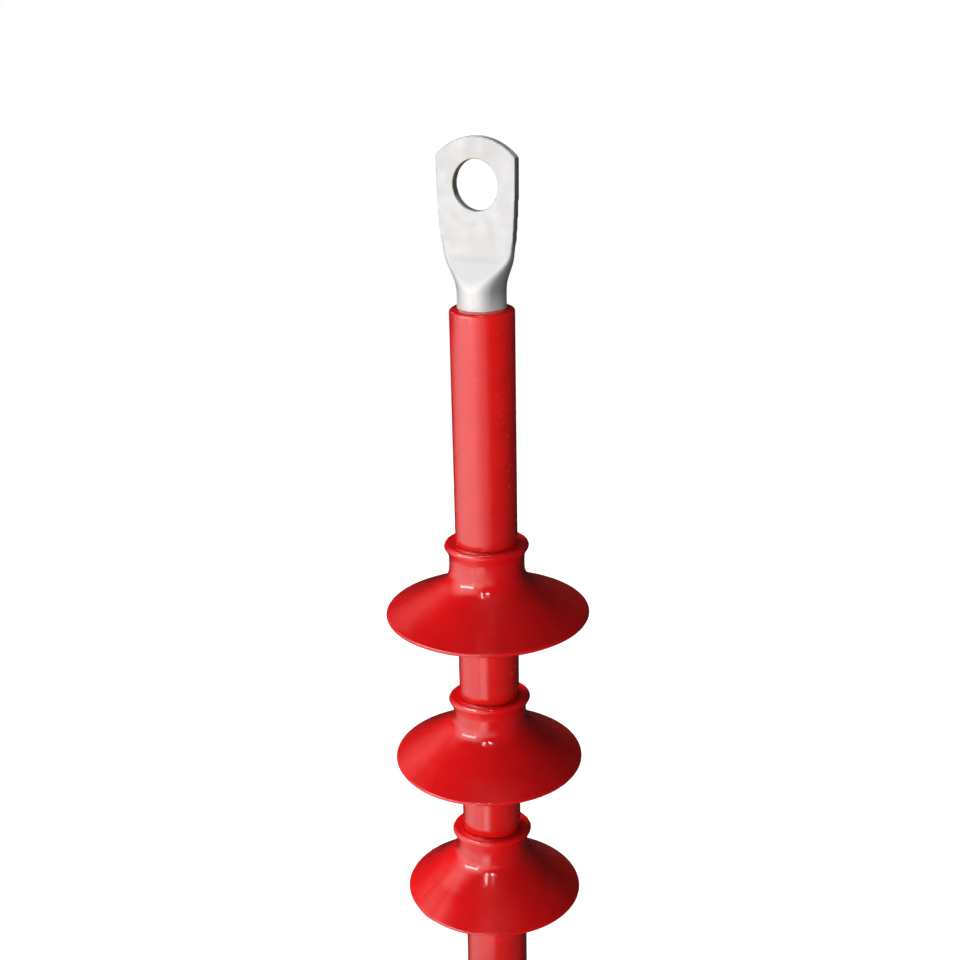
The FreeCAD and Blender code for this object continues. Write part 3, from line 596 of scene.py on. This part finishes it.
def tinned_metal():
    """Satin tin on copper: fine grain, rubbed streaks, smudges, a warm rim at the hole, painted
    shade on its edges, sides and hole wall, and painted highlights on its shoulder and tip.
    """
    recipe = Recipe("tinned_metal")
    place = recipe.add("ShaderNodeSeparateXYZ", {"Vector": recipe.place}).outputs
    facing = recipe.add("ShaderNodeSeparateXYZ", {"Vector": recipe.normal}).outputs
    from_hole = recipe.math("SQRT", recipe.math("ADD", recipe.math("POWER", place["X"], 2.0),
                                                recipe.math("POWER", place["Z"], 2.0)))
    shades = recipe.clouds(7, 4)
    grey = recipe.mix(recipe.levels(place["Z"], *GREY_HEIGHTS),
                      recipe.mix(shades, *BARREL_GREYS), recipe.mix(shades, *PALM_GREYS))
    rubbed = recipe.levels(recipe.noise(0.9, 4, stretch=(1, 1, 0.12), bend=0.6), 0.56, 0.75)
    streaked = recipe.mix(recipe.math("MULTIPLY", rubbed, 0.25), grey, RUBBED_GREY)

    # A warm stain at the hole's upper left.
    rim = recipe.levels(from_hole, *STAIN_REACH, 1.0, 0.0)
    blotch = recipe.levels(recipe.noise(2.2, 3, shift=3), 0.42, 0.62)
    upper_left = recipe.levels(recipe.math("SUBTRACT", place["Z"], place["X"]), 0.0, 0.008)
    stained = recipe.math("MULTIPLY", rim, recipe.math("MULTIPLY", blotch, upper_left))
    warmed = recipe.mix(recipe.math("MULTIPLY", stained, 0.7), streaked, STAIN)

    # Painted shade as dark edges round the palm, and painted highlights as a lighter shoulder and
    # tip.
    painted_edge_shade = recipe.levels(recipe.math("ABSOLUTE", facing["Y"]), 0.62, 0.93, 0.9, 0.0)
    in_palm = recipe.levels(place["Z"], *EDGE_SHADE_HEIGHTS)
    edge_shaded = recipe.mix(recipe.math("MULTIPLY", painted_edge_shade, in_palm), warmed, EDGE_SHADE_GREY)
    # Painted highlight: the shoulder's upward-facing faces are made paler, so that they read as
    # bright as the palm.
    shoulder = recipe.math("MULTIPLY", recipe.levels(facing["Z"], 0.04, 0.2),
                           recipe.levels(place["Z"], *FLAT_HEIGHTS, 1.0, 0.0))
    shoulder_highlighted = recipe.mix(shoulder, edge_shaded, SHOULDER_HIGHLIGHT_GREY)
    # Painted highlight: faces that look up, such as the tip's edge, get a pale bluish grey.
    tip_highlighted = recipe.mix(recipe.levels(facing["Z"], 0.4, 0.6), shoulder_highlighted, TIP_HIGHLIGHT_GREY)

    # Painted shade on the palm's sideways-facing sides and on the wall of the punched hole.
    sideways = recipe.levels(recipe.math("ABSOLUTE", facing["X"]), 0.85, 0.97)
    painted_side_shade = recipe.math("MULTIPLY", sideways, recipe.levels(place["Z"], *FLAT_HEIGHTS))
    in_hole = recipe.levels(from_hole, *HOLE_WALL, 1.0, 0.0)
    base = recipe.mix(recipe.math("MAXIMUM", painted_side_shade, in_hole), tip_highlighted, SIDE_SHADE_GREY)

    smudge = recipe.levels(recipe.noise(4, 4, shift=8), 0.35, 0.7, 0.46, 0.6)
    grain = recipe.bump(recipe.noise(0.22, 2), 0.004)
    scratch = recipe.levels(recipe.noise(0.35, 2, stretch=(1, 1, 0.04)), 0.62, 0.75, 1.0, 0.0)
    marks = recipe.bump(scratch, 0.004, grain)
    return recipe.finish(Base_Color=base, Metallic=0.2, Roughness=smudge, Normal=marks)


def moulded(name, dark, light, roughness, grain, relief, **shader):
    """Plain polymer or filler with clouded colour, patchy gloss and a fine relief."""
    recipe = Recipe(name)
    base = recipe.mix(recipe.clouds(grain * 8, 4), dark, light)
    rough = recipe.clouds(grain * 3, 3, roughness * 0.8, min(1.0, roughness * 1.2), shift=4)
    normal = recipe.bump(recipe.noise(grain, 3), relief)
    return recipe.finish(Base_Color=base, Roughness=rough, Normal=normal, **shader)


SHEATH_BLACK = (0.022, 0.022, 0.023)
SCUFF_GREY = (0.11, 0.11, 0.108)
COPPER = (0.80, 0.42, 0.27)
TARNISH = (0.47, 0.21, 0.12)
# Gaps and threads of the binder's weave.
WEAVE_TONES = ((0.42, 0.4, 0.35), (0.72, 0.7, 0.64))


def extruded_sheath():
    """Black jacket: drawn lines along the cable, chalky dust and a few scuffs."""
    recipe = Recipe("extruded_sheath")
    drawn = recipe.noise(0.8, 3, stretch=(1, 1, 0.03))
    scuffs = recipe.levels(recipe.noise(3, 5, stretch=(1, 1, 0.35), bend=0.5), 0.56, 0.68)
    base = recipe.mix(recipe.math("MULTIPLY", scuffs, 0.35), SHEATH_BLACK, SCUFF_GREY)
    rough = recipe.clouds(2.5, 3, 0.34, 0.52, shift=5)
    normal = recipe.bump(drawn, 0.012, recipe.bump(recipe.noise(0.5, 2), 0.006))
    return recipe.finish(Base_Color=base, Roughness=rough, Normal=normal)


def drawn_copper(name, wound):
    """Bare copper with brown tarnish; wound copper shows the turns of its tape."""
    recipe = Recipe(name)
    tarnish = recipe.levels(recipe.noise(2.4, 4), 0.35, 0.7)
    base = recipe.mix(tarnish, COPPER, TARNISH)
    rough = recipe.clouds(1.5, 3, 0.24, 0.42, shift=2)
    normal = recipe.bump(recipe.noise(0.3, 2, stretch=(1, 1, 0.05)), 0.006)
    if wound:
        turns = recipe.add("ShaderNodeTexWave", {
            "Vector": recipe.spot((0.12, 0.12, 1)), "Scale": 18.0, "Distortion": 0.0},
            bands_direction="DIAGONAL", wave_profile="SAW").outputs["Fac"]
        normal = recipe.bump(turns, 0.12, normal)
    return recipe.finish(Base_Color=base, Metallic=1.0, Roughness=rough, Normal=normal)


def woven_binder():
    """Off-white tape with a fine crossed weave."""
    recipe = Recipe("woven_binder")
    across, along = (
        recipe.add("ShaderNodeTexWave", {
            "Vector": recipe.place, "Scale": 520.0, "Distortion": 1.5, "Detail": 1.0},
            bands_direction=direction).outputs["Fac"]
        for direction in ("X", "Z"))
    threads = recipe.math("MULTIPLY", across, along)
    base = recipe.mix(threads, *WEAVE_TONES)
    rough = recipe.clouds(1.2, 3, 0.75, 0.95)
    return recipe.finish(Base_Color=base, Roughness=rough, Sheen_Weight=0.3,
                         Normal=recipe.bump(threads, 0.06))


def dress(piece, material):
    """Give a piece one material."""
    piece.data.materials.clear()
    piece.data.materials.append(material)


dress(tube, red_shrunk("shrunk_red", TUBE_REDS, roughness=0.24, relief=1.0, seed=1))
for number, shed in enumerate(sheds):
    dress(shed, red_shrunk(f"moulded_red_{number}", SHED_REDS, roughness=0.2, relief=0.5,
                           seed=20 + 7 * number))
dress(lug, tinned_metal())

semiconductor = moulded("semiconducting_black", (0.018, 0.018, 0.019), (0.035, 0.035, 0.036),
                        roughness=0.55, grain=0.4, relief=0.008)
sealant = moulded("tacky_sealant", (0.10, 0.012, 0.012), (0.2, 0.03, 0.03),
                  roughness=0.4, grain=1.2, relief=0.05, Coat_Weight=0.3)
hot_melt = moulded("hot_melt_adhesive", (0.25, 0.03, 0.025), (0.4, 0.07, 0.055),
                   roughness=0.3, grain=1.5, relief=0.04, Coat_Weight=0.4)
milky = moulded("milky_insulation", (0.78, 0.78, 0.73), (0.87, 0.87, 0.83),
                roughness=0.38, grain=0.8, relief=0.006, Subsurface_Weight=0.2)
filler = moulded("stress_filler", (0.66, 0.5, 0.07), (0.82, 0.67, 0.12),
                 roughness=0.5, grain=1.0, relief=0.05)
wire_copper = drawn_copper("wire_copper", wound=False)
tape_copper = drawn_copper("tape_copper", wound=True)
NODE_MATERIALS = {
    "conductor_centre_wire": wire_copper,
    "conductor_inner_wires": wire_copper,
    "conductor_outer_wires": wire_copper,
    "conductor_screen": semiconductor,
    "xlpe_insulation": milky,
    "insulation_screen": semiconductor,
    "copper_tape_screen": tape_copper,
    "binder_tape": woven_binder(),
    "outer_sheath": extruded_sheath(),
    "stress_grading_mastic": filler,
    "stress_control_tube": semiconductor,
    "lug_sealing_mastic": sealant,
    "sheath_sealing_mastic": sealant,
    "shed_adhesive_top": hot_melt,
    "shed_adhesive_middle": hot_melt,
    "shed_adhesive_bottom": hot_melt,
}
for name, material in NODE_MATERIALS.items():
    dress(nodes[name], material)


# Floor, lamps and the cards that stand round the object, as in a small studio. Bearings are in
# degrees: 0 is the camera's side, and they grow to its right. Distances are in metres.

FLOOR_REACH = 14.0
FLOOR_GREY = (0.5, 0.5, 0.5, 1)
# Distances over which the floor's glow grows, and its strengths there.
FLOOR_GLOW = (0.55, 1.5, 0.72, 1.0)
# Light from all round, and what gloss sees of the world: bright at the horizon, dark above it.
AMBIENT = 0.03
HORIZON_FADE = (0.05, 0.2, 1.0, 0.015)
CARD_WHITE = (1, 0.99, 0.98, 1)
# What gloss sees where nothing pale stands, how far off the room's wall is, and its top's
# elevation.
DARK_LEVEL = 0.012
ROOM_REACH = 1.7
ROOM_TOP = 70
# The cards on the floor lie a little above it, and the bright strips above those.
CARD_LIFT = 0.0006
STRIP_LIFT = 0.0012
# Pale panels that gloss sees: (strength, bearings of its two edges, softness of each).
WIDE_PANEL = (1.4, -112, -31, 40, 24)
FRONT_PANEL = (0.6, -40, 12, 20, 16)
NEAR_WIDE_PANEL = (0.86, -116, -46, 30, 10)
NEAR_NARROW_PANEL = (1.3, -33, -9, 6, 9)
NEAR_JOINING_PANEL = (0.62, -50, -30, 8, 6)
WALL_PANEL = (1.4, -103, -31, 26, 24)
# Distances over which the near floor brightens, its narrow panel grows and the far panels take
# over, and elevations over which the wall's wide panel and the front one fade.
CLOSE_ZONE = (0.16, 0.32)
NARROW_ZONE = (0.18, 0.34)
FAR_ZONE = (0.55, 0.95)
WIDE_FADE = (32, 54)
FRONT_FADE = (-4, 12)
# Bars that gloss sees: (name, bearings, elevations, distance, strength).
BRIGHT_BARS = [
    ("upright_bar", (-43, -41), (-7, 21), 1.2, 6.0),
    ("level_bar", (-80, -42), (12, 19), 0.45, 12.0),
    ("ceiling_bar_1", (-21.5, -19), (49, 61), 1.2, 22.0),
    ("ceiling_bar_2", (1, 3), (56, 61), 1.2, 10.0),
    ("sparkle_1", (-19, -16), (41, 45), 1.2, 45.0),
    ("sparkle_2", (-3, 1), (42, 46), 1.2, 45.0),
]
# Strips on the floor that gloss sees: (name, bearings, distances, strength).
FLOOR_STRIPS = [
    ("far_strip", (-45, -43), (0.62, 0.73), 5.0),
    ("near_strip", (-23.5, -20.5), (0.29, 0.36), 2.6),
    ("near_panel", (-21, -9), (0.25, 0.275), 1.6),
]
# Points of these cards: bearings all round, rings of the floor from the first distance out, rings
# of the wall, and bearings of a bar or strip.
ROUND_STEPS = 181
FLOOR_START = 0.02
FLOOR_RINGS = 60
WALL_RINGS = 50
BAR_STEPS = 9
# Lamps: (name, bearing, elevation, distance, width, height, strength).
LAMPS = [
    ("key_light", -24, 6, 1.0, 0.5, 0.4, 0.9),
    ("left_back_light", -140, 22, 1.1, 0.6, 0.5, 1.6),
    ("right_back_light", 115, 5, 1.1, 0.6, 0.5, 0.05),
    ("overhead_light", 0, 75, 1.2, 0.6, 0.6, 0.14),
]


def bearing_vector(bearing, elevation=0.0):
    """Unit vector towards a bearing and elevation."""
    turn = math.radians(bearing)
    rise = math.radians(elevation)
    flat = -AWAY * math.cos(turn) + RIGHT * math.sin(turn)
    return Vector((flat[0] * math.cos(rise), flat[1] * math.cos(rise), math.sin(rise)))


def softbox(name, bearing, elevation, distance, wide, tall, value, height=AIM_HEIGHT,
            spread=None):
    """Area light that adds about value to a surface facing it, aimed at a height on the axis.

    spread narrows the beam to an angle in degrees, without making its middle brighter.
    """
    aim = Vector((0, 0, height))
    data = bpy.data.lights.new(name, "AREA")
    data.shape = "RECTANGLE"
    data.size = wide
    data.size_y = tall
    # A surface facing the lamp gets power / (pi distance^2), and a white one gives off a pi-th.
    data.energy = value * math.pi ** 2 * distance ** 2
    if spread is not None:
        # A narrowed beam is made brighter in its middle, and the factor takes that back.
        data.spread = math.radians(spread)
        half = data.spread / 2
        data.energy *= 2 * (math.tan(half) - half) / math.tan(half)
    lamp = bpy.data.objects.new(name, data)
    lamp.location = aim + bearing_vector(bearing, elevation) * distance
    lamp.rotation_mode = "QUATERNION"
    lamp.rotation_quaternion = (lamp.location - aim).to_track_quat("Z", "Y")
    lamp.visible_camera = False
    lamp.visible_glossy = False
    scene.collection.objects.link(lamp)


def pale_floor():
    """Diffuse floor that also glows white for the camera and in reflections, less near the foot."""
    recipe = Recipe("pale_floor")
    path = recipe.add("ShaderNodeLightPath").outputs
    seen = path["Is Camera Ray"]
    for ray in ("Is Glossy Ray", "Is Transmission Ray"):
        seen = recipe.math("MAXIMUM", seen, path[ray])
    far = recipe.add("ShaderNodeVectorMath", {0: recipe.place}, operation="LENGTH")
    strength = recipe.levels(far.outputs["Value"], *FLOOR_GLOW)
    lit = recipe.add("ShaderNodeBsdfDiffuse", {"Color": FLOOR_GREY}).outputs[0]
    shine = recipe.add("ShaderNodeEmission", {"Strength": strength}).outputs[0]
    glowing = recipe.add("ShaderNodeAddShader", {0: lit, 1: shine}).outputs[0]
    return recipe.surface(recipe.add("ShaderNodeMixShader", {0: seen, 1: lit, 2: glowing}))


def sheet_mesh(name, rows, material):
    """Stage surface through rows of points, in metres."""
    points = [point for row in rows for point in row]
    wide = len(rows[0])
    faces = [(r * wide + c, r * wide + c + 1, (r + 1) * wide + c + 1, (r + 1) * wide + c)
             for r in range(len(rows) - 1) for c in range(wide - 1)]
    mesh = bpy.data.meshes.new(name)
    mesh.from_pydata([tuple(point) for point in points], [], faces)
    mesh.materials.append(material)
    card = bpy.data.objects.new(name, mesh)
    scene.collection.objects.link(card)
    return card


def mirrored_card(name, bearings, rings, place, level):
    """Glowing sheet that only gloss sees, over a grid of bearings and rings.

    place gives the point at a bearing and ring, and level the strength there.
    """
    wiring = Wiring(bpy.data.materials.new(name))
    strength = wiring.add("ShaderNodeAttribute", attribute_name="level").outputs["Fac"]
    glow = wiring.add("ShaderNodeEmission", {"Color": CARD_WHITE, "Strength": strength})
    rows = [[place(bearing, ring) for ring in rings] for bearing in bearings]
    card = sheet_mesh(name, rows, wiring.surface(glow))
    levels = [float(level(bearing, ring)) for bearing in bearings for ring in rings]
    card.data.attributes.new("level", "FLOAT", "POINT").data.foreach_set("value", levels)
    card.visible_camera = False
    card.visible_shadow = False
    card.visible_diffuse = False
    card.visible_transmission = False


def panel(bearing, strength, start, end, soft_start, soft_end):
    """Strength of a panel between two bearings, with a soft edge at each."""
    return strength * smooth_step(start - soft_start, start + soft_start, bearing) * (
        1 - smooth_step(end - soft_end, end + soft_end, bearing))


def floor_level(bearing, far):
    """What gloss sees on the floor: a wide pale panel on the left and a narrow one in front."""
    outer = panel(bearing, *WIDE_PANEL) + panel(bearing, *FRONT_PANEL)
    narrow = panel(bearing, *NEAR_NARROW_PANEL) * (0.4 + 0.6 * smooth_step(*NARROW_ZONE, far))
    inner = panel(bearing, *NEAR_WIDE_PANEL) + narrow + panel(bearing, *NEAR_JOINING_PANEL)
    spread = smooth_step(*FAR_ZONE, far)
    close = smooth_step(*CLOSE_ZONE, far)
    return (outer * spread + inner * (1 - spread)) * (0.7 + 0.3 * close) + DARK_LEVEL


def wall_level(bearing, elevation):
    """What gloss sees all round, from the floor's edge to overhead."""
    wide = panel(bearing, *WALL_PANEL) * (1 - smooth_step(*WIDE_FADE, elevation))
    front = panel(bearing, *FRONT_PANEL) * (1 - smooth_step(*FRONT_FADE, elevation))
    return wide + front + DARK_LEVEL


def make_reflections():
    """The pale room that gloss sees: floor, wall, bright bars and strips on the floor."""
    def on_floor(bearing, far, lift=CARD_LIFT):
        side = bearing_vector(bearing) * far
        return side.x, side.y, FLOOR_HEIGHT + lift

    def on_wall(bearing, elevation):
        side = bearing_vector(bearing) * ROOM_REACH
        return side.x, side.y, AIM_HEIGHT + math.tan(math.radians(elevation)) * ROOM_REACH

    around = np.linspace(-180, 180, ROUND_STEPS)
    outwards = np.linspace(FLOOR_START, ROOM_REACH, FLOOR_RINGS)
    mirrored_card("mirrored_floor", around, outwards, on_floor, floor_level)
    foot = math.degrees(math.atan((FLOOR_HEIGHT - AIM_HEIGHT) / ROOM_REACH))
    upwards = np.linspace(foot, ROOM_TOP, WALL_RINGS)
    mirrored_card("mirrored_wall", around, upwards, on_wall, wall_level)
    for name, bearings, elevations, far, strength in BRIGHT_BARS:
        mirrored_card(name, np.linspace(*bearings, BAR_STEPS), elevations,
                      lambda bearing, elevation: AIM + bearing_vector(bearing, elevation) * far,
                      lambda bearing, elevation: strength)
    for name, bearings, distances, strength in FLOOR_STRIPS:
        mirrored_card(name, np.linspace(*bearings, BAR_STEPS), distances,
                      lambda bearing, far: on_floor(bearing, far, STRIP_LIFT),
                      lambda bearing, far: strength)


def make_floor():
    """Wide level floor under the cable's cut end."""
    ends = (-FLOOR_REACH, FLOOR_REACH)
    sheet_mesh("floor", [[(x, y, FLOOR_HEIGHT) for x in ends] for y in ends], pale_floor())


def make_world():
    """White behind the object for the camera; reflections see it near the horizon only."""
    scene.world = bpy.data.worlds.new("studio")
    wiring = Wiring(scene.world)
    path = wiring.add("ShaderNodeLightPath").outputs
    place = wiring.add("ShaderNodeTexCoord").outputs["Generated"]
    rise = wiring.add("ShaderNodeSeparateXYZ", {"Vector": place}).outputs["Z"]
    fade = wiring.levels(rise, *HORIZON_FADE, interpolation_type="SMOOTHSTEP")
    mirrored = wiring.math("MAXIMUM", path["Is Glossy Ray"], path["Is Transmission Ray"])
    unseen = wiring.blend(mirrored, AMBIENT, fade)
    strength = wiring.blend(path["Is Camera Ray"], unseen, 1.0)
    back = wiring.add("ShaderNodeBackground", {"Color": (1, 1, 1, 1), "Strength": strength})
    wiring.surface(back, "ShaderNodeOutputWorld")


make_floor()
make_world()
make_reflections()
for lamp in LAMPS:
    softbox(*lamp)
softbox("upper_light", bearing=27, elevation=20, distance=1.0, wide=0.2, tall=0.08, value=0.25,
        height=-0.04, spread=10)

scene.view_settings.view_transform = "Standard"
